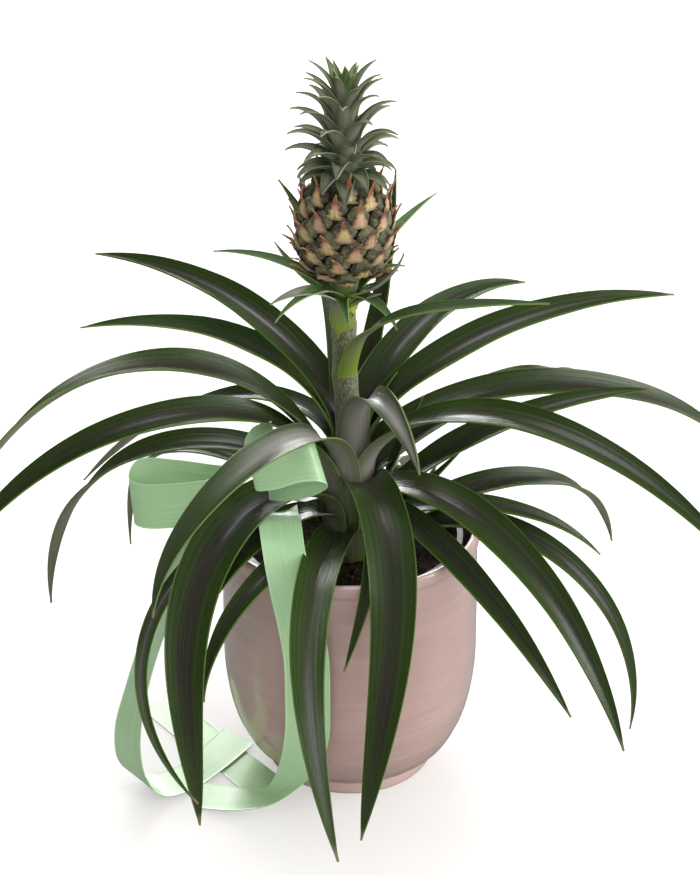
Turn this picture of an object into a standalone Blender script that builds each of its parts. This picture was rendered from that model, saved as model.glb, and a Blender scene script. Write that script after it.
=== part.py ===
"""Potted dwarf pineapple plant: a glazed pot, a nursery pot, soil and one fruiting plant with a ribbon.

Units are metres, +Z is up, and the origin is the centre of the pot's flat underside.
"""

import math

import bmesh
import bpy
from mathutils import Matrix, Vector

MM = 0.001
GAP = 0.3 * MM  # left between neighbouring pieces

# Glazed pot
POT_HEIGHT = 157 * MM
POT_RIM_RADIUS = 75 * MM
POT_FOOT_RADIUS = 48.5 * MM
POT_WALL = 4.6 * MM
POT_FLOOR = 6 * MM
LIP_HEIGHT = 7 * MM
BELLY_RADIUS = POT_RIM_RADIUS - 0.8 * MM
BELLY_HEIGHT = 78 * MM
FOOT_HEIGHT = 14 * MM  # up to the groove between the foot and the bowl

# Plastic nursery pot that stands inside it
NURSERY_HEIGHT = 143 * MM
NURSERY_TOP_RADIUS = 65 * MM
NURSERY_FOOT_RADIUS = 47 * MM
NURSERY_WALL = 1.4 * MM
NURSERY_RIM = 2.5 * MM  # how far its rim stands out
DRAIN_HOLES = 6
DRAIN_RADIUS = 4 * MM

SOIL_TOP = 139 * MM

# Stem, from its root end in the soil up to the fruit: (height, radius)
STEM_PROFILE = [
    (108 * MM, 13 * MM),
    (140 * MM, 16 * MM),
    (150 * MM, 19 * MM),
    (185 * MM, 17 * MM),
    (205 * MM, 11 * MM),
    (215 * MM, 8 * MM),
    (240 * MM, 7 * MM),
    (290 * MM, 6.5 * MM),
    (304 * MM, 8.5 * MM),
]

# Fruit and crown
FRUIT_HEIGHT = 60 * MM
FRUIT_RADIUS = 26.5 * MM
FRUIT_BUMP = 1.6 * MM
EYE_SPIRALS = 4
CROWN_HEIGHT = 50 * MM
CROWN_BASE_RADIUS = 10 * MM
CROWN_TOP_RADIUS = 4.5 * MM
CROWN_COLUMNS = 12
CROWN_ROWS = 8
CROWN_REACH = 21 * MM

# Leaves
LEAF_THICKNESS = 1.3 * MM
LEAF_STEPS = 14
PATH_STEPS = 60
LEAF_TIP_WIDTH = 1.2 * MM
LEAF_SEAT = 0.5 * MM + LEAF_THICKNESS / 2  # from the stem to the middle of a leaf's base
LEAF_BASE_WIDTH = 7 * MM
SLIM_BASES = {"leaf_03": 4 * MM, "leaf_10": 5 * MM, "leaf_27": 6 * MM, "leaf_33": 6 * MM, "leaf_36": 6 * MM}
LEAF_FOLD = 24
SHARP_FOLDS = {"leaf_18": 38, "leaf_15": 30, "leaf_30": 30, "leaf_04": 28}
FLAT_FOLDS = {"leaf_25": 20, "leaf_28": 14, "leaf_29": 18}
LEAF_LEAN = 25  # degrees by which a leaf that reaches sideways turns its face to the light in front

# name: (bearing, height on the stem, rise, fall, bend, length, sweep, width)
# Bearing is counted from +X towards +Y. Rise and fall are the slopes at the base and at the tip,
# bend under 1 spends the fall early, sweep turns the bearing along the leaf. Degrees and mm.
LEAVES = {
    "leaf_01": (350, 161, 30, -50, 0.9, 140, 25, 13),
    "leaf_02": (5, 170, 45, 0, 1, 170, 0, 18),
    "leaf_03": (11, 151, 45, 45, 1, 65, 2, 6),
    "leaf_04": (18, 210, 78, -8, 0.45, 206, 0, 22),
    "leaf_05": (10, 147, 33, -76, 1.25, 190, 31, 17),
    "leaf_06": (12, 200, 60, -55, 0.5, 320, 25, 22),
    "leaf_07": (54, 215, 59, -14, 0.9, 150, -23, 22),
    "leaf_08": (20, 190, 35, -45, 1.4, 175, 30, 18),
    "leaf_09": (80, 195, 55, 90, 0.8, 165, -70, 13),
    "leaf_10": (25, 142, 35, 20, 0.8, 60, 45, 8),
    "leaf_11": (70, 160, 30, -85, 0.7, 180, 5, 20),
    "leaf_12": (93, 158, 30, -85, 0.7, 190, 0, 22),
    "leaf_13": (115, 160, 30, -85, 0.7, 185, 5, 18),
    "leaf_14": (103, 178, 85, 67, 0.25, 175, 50, 16),
    "leaf_15": (132, 217, 82, -8, 0.35, 207, 16, 22),
    "leaf_16": (170, 160, 55, -95, 0.9, 205, -55, 12),
    "leaf_17": (132, 207, 64, -50, 0.3, 226, 31, 15),
    "leaf_18": (131, 214, 88, -15, 0.25, 193, 34, 20),
    "leaf_19": (173, 176, 60, -91, 0.7, 245, -9, 17),
    "leaf_20": (193, 195, 68, -62, 1.05, 280, 33, 22),
    "leaf_21": (215, 190, 80, -65, 0.7, 280, -30, 21),
    "leaf_22": (250, 195, 80, -85, 0.8, 205, -55, 20),
    "leaf_23": (224, 169, 39, -88, 0.66, 167, -14, 17),
    "leaf_24": (240, 143, 49, -92, 0.95, 139, -30, 12),
    "leaf_25": (202, 177, 43, -84, 0.5, 237, 107, 27),
    "leaf_26": (185, 174, -5, -23, 0.25, 251, 134, 10),
    "leaf_27": (290, 185, 25, -60, 0.4, 115, -60, 10),
    "leaf_28": (295, 190, 40, -75, 0.3, 215, -65, 27),
    "leaf_29": (255, 160, 35, -20, 0.3, 260, 30, 22),
    "leaf_30": (284, 206, 90, -70, 1.2, 121, 19, 20),
    "leaf_31": (318, 175, 25, -50, 0.35, 168, 4, 18),
    "leaf_32": (330, 180, 80, -65, 0.3, 220, -15, 24),
    "leaf_33": (285, 255, 65, -5, 0.9, 155, 80, 11),
    "leaf_34": (328, 198, 83, -29, 0.45, 270, -16, 22),
    "leaf_35": (358, 143, 44, -96, 0.75, 235, -23, 17),
    "leaf_36": (354, 178, 70, 70, 1, 65, 0, 10),
}

# Short leafy bracts on the stalk under the fruit, in the same terms
BRACT_BASE_WIDTH = 4 * MM
BRACT_FOLD = 26
BRACTS = {
    "bract_01": (211, 284, 84, -30, 1, 59, 0, 14),
    "bract_02": (165, 300, 50, -10, 0.6, 70, -5, 8),
    "bract_03": (240, 300, 50, -55, 1, 50, -38, 8),
    "bract_04": (145, 297, 10, 45, 1, 45, -5, 7),
    "bract_05": (50, 300, 55, 10, 0.5, 80, 0, 9),
    "bract_06": (20, 300, 60, -15, 1, 30, -5, 7),
    "bract_07": (265, 298, 35, -45, 1, 30, 25, 8),
    "bract_08": (323, 300, 30, 75, 1.6, 45, 5, 10),
    "bract_09": (318, 295, 40, 25, 1, 20, 10, 6),
}

# Satin ribbon: stations along each strip, (x, y, z) of its middle and the way its width points, in mm
RIBBON_WIDTH = 25 * MM
RIBBON_THICKNESS = 0.7 * MM
RIBBON_STEPS = 3
RIBBON = {
    "ribbon_loop_left": [
        (-61, -20, 190.4, 0, 0.25, 0.95),
        (-78, -30, 189.4, 0, 0.35, 0.95),
        (-98, -31, 183.4, 0, 0.45, 0.9),
        (-116, -24, 177.4, -0.1, 0.45, 0.9),
        (-123, -11, 174.4, -0.1, 0.45, 0.9),
        (-116, 3, 175.4, 0, 0.45, 0.9),
        (-97, 10, 179.4, 0, 0.45, 0.9),
        (-76, 6, 184.4, 0, 0.4, 0.9),
        (-61, -5, 189.4, 0, 0.3, 0.95),
    ],
    "ribbon_loop_upper": [
        (-52, -7.8, 192, 1, -0.3, 0),
        (-44, -25, 197, 1, -0.2, 0),
        (-39, -37, 208, 1, -0.1, -0.1),
        (-37, -43, 223, 1, -0.1, -0.1),
        (-36, -51, 232, 1, -0.1, -0.15),
        (-34, -62, 230, 1, -0.1, -0.2),
        (-33, -69, 218, 1, -0.1, -0.25),
        (-35, -65, 206, 1, -0.1, -0.3),
        (-39, -52, 199, 1, -0.1, -0.25),
        (-45, -36, 193, 1, -0.2, -0.1),
    ],
    "ribbon_tail_front": [
        (-42, -40, 165.3, 1, -0.3, 0),
        (-40, -54, 167.3, 1, -0.25, 0),
        (-37, -67, 166.8, 1, -0.2, -0.1),
        (-34, -75, 158, 1, -0.15, 0),
        (-31, -79, 140, 1, -0.1, 0),
        (-29, -80, 115, 1, 0, 0),
        (-28, -80, 90, 1, 0, 0),
        (-28, -79, 65, 1, 0, 0),
        (-31, -79, 43, 1, -0.2, 0.2),
        (-40, -76, 24, 0.8, -0.5, 0.4),
        (-54, -69, 11, 0.4, -0.9, 0.2),
        (-69, -62, 3.5, 0.1, -1, 0.05),
        (-86, -58, 1.2, 0, -1, 0),
    ],
    "ribbon_tail_left": [
        (-60, 5, 170, 0.5, -0.8, 0.2),
        (-75, -2, 162, 0.6, -0.75, 0.2),
        (-90, -11, 142, 0.7, -0.6, 0.25),
        (-102, -21, 121, 0.8, -0.5, 0.25),
        (-114, -33, 93, 0.85, -0.45, 0.2),
        (-124, -42, 64, 0.9, -0.4, 0.1),
        (-129, -46, 38, 0.9, -0.45, 0),
        (-127, -47, 16, 0.8, -0.6, 0),
        (-116, -46, 4, 0.55, -0.8, 0),
        (-98, -36, 1.8, 0.5, -0.85, 0),
        (-82, -16, 2.1, 0.65, -0.75, 0),
        (-68, 6, 2.1, 0.8, -0.6, 0),
    ],
    "ribbon_end_floor": [
        (-122, 46, 0.8, 0.5, 0.85, 0),
        (-105, 25, 0.8, 0.6, 0.8, 0),
        (-88, 3, 0.8, 0.6, 0.8, 0),
        (-72, -16, 0.8, 0.6, 0.8, 0),
        (-58, -36, 0.8, 0.7, 0.7, 0),
    ],
}

COLOURS = {
    "glaze": ((0.47, 0.36, 0.34), 0.18, 0.0),
    "nursery_plastic": ((0.015, 0.015, 0.017), 0.4, 0.0),
    "soil": ((0.03, 0.02, 0.014), 0.95, 0.0),
    "stem": ((0.2, 0.2, 0.13), 0.7, 0.0),
    "fruit": ((0.35, 0.24, 0.1), 0.6, 0.0),
    "crown": ((0.16, 0.22, 0.15), 0.6, 0.0),
    "leaf": ((0.035, 0.075, 0.03), 0.35, 0.0),
    "bract": ((0.12, 0.2, 0.07), 0.5, 0.0),
    "satin": ((0.38, 0.72, 0.42), 0.35, 0.0),
}


def clear_scene():
    for obj in list(bpy.data.objects):
        bpy.data.objects.remove(obj, do_unlink=True)


def collection(name, hidden=False):
    """A collection of this scene; the cutters' one is left out of renders."""
    group = bpy.data.collections.new(name)
    bpy.context.scene.collection.children.link(group)
    group.hide_render = hidden
    return group


def material(name):
    """The Principled material of one of the plant's or pot's finishes."""
    if name in bpy.data.materials:
        return bpy.data.materials[name]
    colour, roughness, metallic = COLOURS[name]
    made = bpy.data.materials.new(name)
    made.use_nodes = True
    shader = made.node_tree.nodes["Principled BSDF"]
    shader.inputs["Base Color"].default_value = (*colour, 1)
    shader.inputs["Roughness"].default_value = roughness
    shader.inputs["Metallic"].default_value = metallic
    return made


def add(name, mesh, group, finish):
    """Links a mesh as the named sub-part, with its finish."""
    obj = bpy.data.objects.new(name, mesh)
    group.objects.link(obj)
    mesh.materials.append(material(finish))
    return obj


def turned(name, profile, group, finish, steps=40):
    """A solid of revolution about Z; the profile runs down the outside and back up the inside."""
    shape = bmesh.new()
    points = [shape.verts.new((radius, 0, height)) for radius, height in profile]
    for first, second in zip(points, points[1:]):
        shape.edges.new((first, second))
    mesh = bpy.data.meshes.new(name)
    shape.to_mesh(mesh)
    shape.free()
    obj = add(name, mesh, group, finish)
    screw = obj.modifiers.new("Turn", "SCREW")
    screw.steps = steps
    screw.render_steps = steps
    screw.use_merge_vertices = True
    screw.merge_threshold = 0.00001
    screw.use_smooth_shade = False
    return obj


def make_glazed_pot(group):
    """Full-bellied pot on a narrower foot, with a rolled lip; its underside is flat."""
    rim, top = POT_RIM_RADIUS, POT_HEIGHT
    belly = BELLY_RADIUS
    inside = rim - POT_WALL
    profile = [
        (0, POT_FLOOR),
        (42 * MM, POT_FLOOR),
        (56 * MM, 13 * MM),
        (66 * MM, 32 * MM),
        (belly - POT_WALL, 62 * MM),
        (inside - 1 * MM, 110 * MM),
        (inside, top - 3 * MM),
        (inside + 1 * MM, top - 0.6 * MM),
        (rim - POT_WALL / 2, top),
        (rim - 0.8 * MM, top - 0.8 * MM),
        (rim, top - 3 * MM),
        (rim - 0.3 * MM, top - LIP_HEIGHT),
        (rim - 1.6 * MM, top - LIP_HEIGHT - 1.5 * MM),
        (rim - 1.4 * MM, 130 * MM),
        (rim - 1.0 * MM, 105 * MM),
        (belly, BELLY_HEIGHT),
        (belly - 1.2 * MM, 58 * MM),
        (belly - 4.4 * MM, 40 * MM),
        (belly - 9.5 * MM, 27 * MM),
        (belly - 16.5 * MM, 18 * MM),
        (POT_FOOT_RADIUS + 1 * MM, FOOT_HEIGHT),
        (POT_FOOT_RADIUS + 1.8 * MM, FOOT_HEIGHT - 3 * MM),
        (POT_FOOT_RADIUS + 1.2 * MM, 2.5 * MM),
        (POT_FOOT_RADIUS, 0),
        (0, 0),
    ]
    return turned("glazed_pot", profile, group, "glaze")


def make_nursery_pot(group, cutters):
    """Thin tapered grower's pot with a turned-out rim and drain holes round its floor."""
    foot = POT_FLOOR + GAP
    top = foot + NURSERY_HEIGHT
    wall = NURSERY_WALL
    outer = NURSERY_TOP_RADIUS
    base = NURSERY_FOOT_RADIUS
    profile = [
        (0, foot + wall),
        (base - 6 * MM, foot + wall),
        (base - wall, foot + wall + 5 * MM),
        (outer - NURSERY_RIM - wall, top - wall),
        (outer - NURSERY_RIM - wall, top),
        (outer + 0.6 * MM, top),
        (outer + 0.6 * MM, top - 7 * MM),
        (outer - 0.8 * MM, top - 7 * MM),
        (outer - 0.8 * MM, top - wall - 0.6 * MM),
        (outer - 2.3 * MM, top - wall - 0.6 * MM),
        (base, foot + 4 * MM),
        (base - 5 * MM, foot),
        (0, foot),
    ]
    pot = turned("nursery_pot", profile, group, "nursery_plastic", steps=32)
    drills = bmesh.new()
    for index in range(DRAIN_HOLES):
        turn = Matrix.Rotation(index * math.tau / DRAIN_HOLES, 4, "Z")
        place = turn @ Matrix.Translation((28 * MM, 0, foot))
        bmesh.ops.create_cone(
            drills,
            cap_ends=True,
            segments=12,
            radius1=DRAIN_RADIUS,
            radius2=DRAIN_RADIUS,
            depth=4 * wall,
            matrix=place,
        )
    mesh = bpy.data.meshes.new("drain_drills")
    drills.to_mesh(mesh)
    drills.free()
    cutter = bpy.data.objects.new("drain_drills", mesh)
    cutters.objects.link(cutter)
    cutter.hide_render = True
    cutter.display_type = "WIRE"
    cut = pot.modifiers.new("Drain holes", "BOOLEAN")
    cut.operation = "DIFFERENCE"
    cut.solver = "EXACT"
    cut.object = cutter
    return pot


def make_soil(group):
    """Root ball and potting soil in the nursery pot, with the hollow that the stem's root end fills."""
    foot = POT_FLOOR + GAP + NURSERY_WALL + GAP
    base = NURSERY_FOOT_RADIUS - NURSERY_WALL - GAP
    slope = (NURSERY_TOP_RADIUS - NURSERY_RIM - NURSERY_FOOT_RADIUS) / (NURSERY_HEIGHT - 12 * MM)
    edge = base + slope * (SOIL_TOP - 6 * MM - foot) - 0.3 * MM
    (root_height, root_radius), (top_height, top_radius) = STEM_PROFILE[:2]
    profile = [
        (0, root_height - GAP),
        (root_radius + GAP, root_height - GAP),
        (top_radius + GAP, top_height - 2 * MM),
        (30 * MM, SOIL_TOP),
        (48 * MM, SOIL_TOP - 2.5 * MM),
        (edge, SOIL_TOP - 1 * MM),
        (base - 0.6 * MM, foot + 6.5 * MM),
        (base - 6 * MM, foot),
        (0, foot),
    ]
    return turned("soil", profile, group, "soil", steps=32)


def make_stem(group):
    """Stout leafy stem that narrows into the fruit stalk."""
    outline = [(radius, height) for height, radius in reversed(STEM_PROFILE)]
    profile = [(0, outline[0][1]), *outline, (0, outline[-1][1])]
    return turned("stem", profile, group, "stem", steps=24)


def make_fruit(group):
    """Barrel-shaped fruit with its eyes in crossing spirals."""
    bottom = STEM_PROFILE[-1][0] + GAP
    shape = bmesh.new()
    bmesh.ops.create_uvsphere(shape, u_segments=32, v_segments=22, radius=1)
    for vert in shape.verts:
        around = math.atan2(vert.co.y, vert.co.x)
        up = math.acos(max(-1, min(1, -vert.co.z))) / math.pi
        swell = math.sin(math.pi * min(1, max(0, up))) ** 0.45
        radius = FRUIT_RADIUS * swell
        eyes = math.cos(EYE_SPIRALS * around + 9 * up) * math.cos(EYE_SPIRALS * around - 13 * up)
        radius += FRUIT_BUMP * eyes * swell
        height = bottom + FRUIT_HEIGHT * up
        vert.co = (radius * math.cos(around), radius * math.sin(around), height)
    mesh = bpy.data.meshes.new("fruit")
    shape.to_mesh(mesh)
    shape.free()
    return add("fruit", mesh, group, "fruit")


def make_crown(group):
    """Leafy crown on the fruit: a short tapered core with staggered rows of pointed leaves."""
    bottom = STEM_PROFILE[-1][0] + 2 * GAP + FRUIT_HEIGHT
    shape = bmesh.new()
    bmesh.ops.create_circle(shape, cap_ends=True, segments=CROWN_COLUMNS, radius=CROWN_BASE_RADIUS)
    row_height = CROWN_HEIGHT / CROWN_ROWS
    cap = list(shape.faces)
    lowest = list(cap)  # the core's underside
    for row in range(CROWN_ROWS):
        grown = bmesh.ops.extrude_face_region(shape, geom=cap)["geom"]
        ring = [item for item in grown if isinstance(item, bmesh.types.BMVert)]
        level = (row + 1) / CROWN_ROWS
        radius = CROWN_BASE_RADIUS + (CROWN_TOP_RADIUS - CROWN_BASE_RADIUS) * level
        for vert in ring:
            flat = Vector((vert.co.x, vert.co.y, 0)).normalized() * radius
            vert.co = (flat.x, flat.y, row_height * (row + 1))
        if row:
            bmesh.ops.delete(shape, geom=cap, context="FACES_ONLY")
        cap = [item for item in grown if isinstance(item, bmesh.types.BMFace)]
    for face in lowest:
        face.normal_flip()
    sides = []
    for face in shape.faces:
        share = face.calc_center_median().z / row_height % 1
        if 0.1 < share < 0.9:
            sides.append(face)
    for face in sides:
        middle = face.calc_center_median()
        row = int(middle.z / row_height)
        column = int(round(math.atan2(middle.y, middle.x) / math.tau * CROWN_COLUMNS - 0.5))
        if (row + column) % 2:
            continue
        grow_crown_leaf(shape, face, row / (CROWN_ROWS - 1))
    bmesh.ops.recalc_face_normals(shape, faces=list(shape.faces))
    bmesh.ops.translate(shape, verts=list(shape.verts), vec=(0, 0, bottom))
    mesh = bpy.data.meshes.new("crown")
    shape.to_mesh(mesh)
    shape.free()
    return add("crown", mesh, group, "crown")


def grow_crown_leaf(shape, face, level):
    """Draws one face of the crown's core out into a leaf that rises and then curls back."""
    middle = face.calc_center_median()
    outward = Vector((middle.x, middle.y, 0)).normalized()
    reach = CROWN_REACH * (1 - 0.35 * level)
    lift = 5 * MM + 7 * MM * level
    for share, rise, narrow, flatten in ((0.5, 1.0, 0.75, 0.35), (0.5, 0.15 + 0.7 * level, 0.22, 0.5)):
        grown = bmesh.ops.extrude_discrete_faces(shape, faces=[face])["faces"]
        face = grown[0]
        centre = face.calc_center_median()
        step = outward * reach * share + Vector((0, 0, lift * rise))
        side = Vector((-outward.y, outward.x, 0))
        for vert in face.verts:
            away = vert.co - centre
            across = side * away.dot(side) * narrow
            upright = Vector((0, 0, away.z * flatten))
            vert.co = centre + step + across + upright


def blade_path(bearing, height, rise, fall, bend, length, sweep, start_radius):
    """Points along a leaf's middle, in metres, from its base to its tip."""
    step = length * MM / PATH_STEPS
    angle = math.radians(bearing)
    point = Vector((start_radius * math.cos(angle), start_radius * math.sin(angle), height * MM))
    points = [point.copy()]
    for index in range(PATH_STEPS):
        along = (index + 0.5) / PATH_STEPS
        slope = math.radians(rise + (fall - rise) * along**bend)
        heading = math.radians(bearing + sweep * along)
        level = math.cos(slope)
        point += step * Vector((level * math.cos(heading), level * math.sin(heading), math.sin(slope)))
        points.append(point.copy())
    return points


def smooth(value):
    value = max(0.0, min(1.0, value))
    return value * value * (3 - 2 * value)


def stem_radius(height):
    """The stem's radius at a height, between the points of its profile."""
    for (low, narrow), (high, wide) in zip(STEM_PROFILE, STEM_PROFILE[1:]):
        if height <= high:
            return narrow + (wide - narrow) * (height - low) / (high - low)
    return STEM_PROFILE[-1][1]


def make_leaf(name, values, base_width, fold, group, finish):
    """One strap-shaped leaf: a narrow base at the stem, folded along its middle, drawn out to a point."""
    bearing, height, rise, fall, bend, length, sweep, width = values
    start = stem_radius(height * MM) + LEAF_SEAT
    path = blade_path(bearing, height, rise, fall, bend, length, sweep, start)
    shape = bmesh.new()
    bmesh.ops.create_grid(shape, x_segments=LEAF_STEPS, y_segments=2, size=1)
    for vert in shape.verts:
        along = (vert.co.x + 1) / 2
        side = round(vert.co.y)
        spot = along * PATH_STEPS
        index = min(int(spot), PATH_STEPS - 1)
        centre = path[index].lerp(path[index + 1], spot - index)
        slope = math.radians(rise + (fall - rise) * along**bend)
        heading = math.radians(bearing + sweep * along)
        across = Vector((-math.sin(heading), math.cos(heading), 0))
        ahead = Vector((math.cos(heading), math.sin(heading), 0))
        upward = Vector((0, 0, math.cos(slope))) - math.sin(slope) * ahead
        taper = (1 - along**2.4) ** 0.9
        share = base_width / (width * MM)
        breadth = width * MM * (share + (1 - share) * smooth(along / 0.25)) * taper
        half = max(breadth, LEAF_TIP_WIDTH) / 2
        open_angle = math.radians(fold) * smooth(along / 0.2)
        lean = math.radians(LEAF_LEAN) * math.cos(heading) * smooth(along / 0.4)
        across, upward = (
            math.cos(lean) * across + math.sin(lean) * upward,
            math.cos(lean) * upward - math.sin(lean) * across,
        )
        vert.co = centre + side * half * math.cos(open_angle) * across
        vert.co += abs(side) * half * math.sin(open_angle) * upward
        if along < 0.5 / LEAF_STEPS:
            seat = LEAF_THICKNESS / 2 * (1 - math.sin(math.radians(max(rise, 0))))
            vert.co -= seat * ahead
    mesh = bpy.data.meshes.new(name)
    shape.to_mesh(mesh)
    shape.free()
    leaf = add(name, mesh, group, finish)
    shell = leaf.modifiers.new("Thickness", "SOLIDIFY")
    shell.thickness = LEAF_THICKNESS
    shell.offset = 0
    return leaf


def curve_through(points, share, steps):
    """A point on the smooth curve through the stations, for a share from 0 to 1 of its stretches."""
    spot = share * (len(points) - 1)
    index = min(int(spot), len(points) - 2)
    local = spot - index
    before = points[max(index - 1, 0)]
    first, second = points[index], points[index + 1]
    after = points[min(index + 2, len(points) - 1)]
    return (
        first
        + 0.5 * local * (second - before)
        + local**2 * (before - 2.5 * first + 2 * second - 0.5 * after)
        + local**3 * (1.5 * (first - second) + 0.5 * (after - before))
    )


def make_ribbon(name, stations, group):
    """A flat satin strip along its stations."""
    middles = [Vector(station[:3]) * MM for station in stations]
    widths = [Vector(station[3:]).normalized() for station in stations]
    steps = RIBBON_STEPS * (len(stations) - 1)
    shape = bmesh.new()
    bmesh.ops.create_grid(shape, x_segments=steps, y_segments=1, size=1)
    for vert in shape.verts:
        share = (vert.co.x + 1) / 2
        side = round(vert.co.y)
        middle = curve_through(middles, share, steps)
        across = curve_through(widths, share, steps).normalized()
        vert.co = middle + side * RIBBON_WIDTH / 2 * across
    mesh = bpy.data.meshes.new(name)
    shape.to_mesh(mesh)
    shape.free()
    strip = add(name, mesh, group, "satin")
    shell = strip.modifiers.new("Thickness", "SOLIDIFY")
    shell.thickness = RIBBON_THICKNESS
    shell.offset = 0
    return strip


clear_scene()
plant = collection("potted_pineapple_plant")
tools = collection("cutters", hidden=True)
make_glazed_pot(plant)
make_nursery_pot(plant, tools)
make_soil(plant)
make_stem(plant)
make_fruit(plant)
make_crown(plant)
for leaf_name, leaf_values in LEAVES.items():
    leaf_base = SLIM_BASES.get(leaf_name, LEAF_BASE_WIDTH)
    leaf_fold = {**SHARP_FOLDS, **FLAT_FOLDS}.get(leaf_name, LEAF_FOLD)
    make_leaf(leaf_name, leaf_values, leaf_base, leaf_fold, plant, "leaf")
for bract_name, bract_values in BRACTS.items():
    make_leaf(bract_name, bract_values, BRACT_BASE_WIDTH, BRACT_FOLD, plant, "bract")
for strip_name, strip_stations in RIBBON.items():
    make_ribbon(strip_name, strip_stations, plant)
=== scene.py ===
import math
import random

import bpy
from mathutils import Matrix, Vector, noise


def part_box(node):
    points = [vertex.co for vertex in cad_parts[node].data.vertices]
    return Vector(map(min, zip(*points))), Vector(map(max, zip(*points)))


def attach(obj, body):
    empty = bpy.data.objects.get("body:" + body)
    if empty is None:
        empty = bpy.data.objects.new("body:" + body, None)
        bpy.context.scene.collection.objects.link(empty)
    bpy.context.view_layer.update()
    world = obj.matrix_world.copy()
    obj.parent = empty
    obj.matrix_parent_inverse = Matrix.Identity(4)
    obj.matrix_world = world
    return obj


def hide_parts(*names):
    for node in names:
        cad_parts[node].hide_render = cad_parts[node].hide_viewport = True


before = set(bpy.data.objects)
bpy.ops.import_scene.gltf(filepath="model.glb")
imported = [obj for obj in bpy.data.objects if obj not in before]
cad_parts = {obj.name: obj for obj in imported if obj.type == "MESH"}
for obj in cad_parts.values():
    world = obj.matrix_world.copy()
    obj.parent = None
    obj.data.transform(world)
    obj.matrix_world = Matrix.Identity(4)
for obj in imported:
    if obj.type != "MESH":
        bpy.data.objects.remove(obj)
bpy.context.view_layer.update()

MM = 0.001

# Studio: a wide pale floor in a white surround, with softboxes high on the right, above and behind.
# Glossy faces see the surround bright only behind, and dull ones see it brightest on the right in front,
# so that a leaf keeps its dark middle between bright edges.
CAMERA_PLACE = (0, -1.093, 0.7864)
CAMERA_DROP = 27.78
CAMERA_LENS = 90.44
FLOOR_SIZE = 9
FLOOR_LIFT = 0.44
LIGHTS_AIM = (0, 0, 0.2)
BRIGHT_WAY_GLOSSY = (0.15, 0.9, -0.5)
BRIGHT_WAY_DULL = (1, -0.6, 0.5)


def node(tree, kind, feeds=None, **settings):
    """A new node whose inputs are set to plain values or linked to other nodes' sockets."""
    made = tree.nodes.new(kind)
    for key, value in settings.items():
        setattr(made, key, value)
    for key, value in (feeds or {}).items():
        if isinstance(value, bpy.types.NodeSocket):
            tree.links.new(value, made.inputs[key])
        else:
            made.inputs[key].default_value = value
    return made


def math_node(tree, operation, first, second=0.0):
    """The result socket of one sum."""
    return node(tree, "ShaderNodeMath", {0: first, 1: second}, operation=operation).outputs[0]


def ease(tree, value, start, end, low=0.0, high=1.0):
    """A smooth step from low to high as value goes from start to end."""
    feeds = {"Value": value, "From Min": start, "From Max": end, "To Min": low, "To Max": high}
    return node(tree, "ShaderNodeMapRange", feeds, interpolation_type="SMOOTHSTEP").outputs[0]


def blend_colours(tree, share, first, second):
    """The colour between two others, by a share from 0 to 1."""
    return node(tree, "ShaderNodeMix", {0: share, 6: first, 7: second}, data_type="RGBA").outputs[2]


def principled(name, **values):
    """A new material and its shader, with the shader's even values set on its own sockets."""
    made = bpy.data.materials.new(name)
    made.use_nodes = True
    shader = made.node_tree.nodes["Principled BSDF"]
    for key, value in values.items():
        shader.inputs[key.replace("_", " ").title().replace("Ior", "IOR")].default_value = value
    return made, made.node_tree, shader


def paint(tree, shader, colour):
    """Gives a shader's colour a pattern."""
    tree.links.new(colour, shader.inputs["Base Color"])


bpy.ops.object.select_all(action="DESELECT")
tilt = math.radians(90 - CAMERA_DROP)
bpy.ops.object.camera_add(location=CAMERA_PLACE, rotation=(tilt, 0, 0))
camera = bpy.context.object
camera.data.lens = CAMERA_LENS
bpy.context.scene.camera = camera
bpy.context.scene.view_settings.view_transform = "Standard"

bpy.ops.mesh.primitive_plane_add(size=FLOOR_SIZE)
floor = bpy.context.object
floor.name = "studio_floor"
floor_paper, tree, shader = principled(
    "floor_paper", roughness=0.8, specular_ior_level=0, emission_color=(1, 0.985, 0.975, 1),
)
rays = node(tree, "ShaderNodeLightPath").outputs
seen_lift = math_node(tree, "MULTIPLY", rays["Is Camera Ray"], FLOOR_LIFT)
tree.links.new(seen_lift, shader.inputs["Emission Strength"])
mirrored = blend_colours(tree, rays["Is Glossy Ray"], (0.5, 0.485, 0.475, 1), (0.22, 0.22, 0.22, 1))
paint(tree, shader, mirrored)
floor.data.materials.append(floor_paper)

world = bpy.data.worlds.new("white_surround")
bpy.context.scene.world = world
world.use_nodes = True
tree = world.node_tree
background = tree.nodes["Background"]
way = node(tree, "ShaderNodeTexCoord").outputs["Generated"]
along_glossy = node(tree, "ShaderNodeVectorMath", {0: way, 1: BRIGHT_WAY_GLOSSY}, operation="DOT_PRODUCT")
along_dull = node(tree, "ShaderNodeVectorMath", {0: way, 1: BRIGHT_WAY_DULL}, operation="DOT_PRODUCT")
glow = ease(tree, along_glossy.outputs["Value"], 0.52, 0.95, 0.04, 3.4)
fill = ease(tree, along_dull.outputs["Value"], -0.65, 1.1, 0.08, 1.55)
rays = node(tree, "ShaderNodeLightPath").outputs
unseen = node(tree, "ShaderNodeMix", {0: rays["Is Diffuse Ray"], 2: glow, 3: fill}).outputs[0]
level = node(tree, "ShaderNodeMix", {0: rays["Is Camera Ray"], 2: unseen, 3: 1.0}).outputs[0]
tree.links.new(level, background.inputs["Strength"])
background.inputs["Color"].default_value = (1, 1, 1, 1)

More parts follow.
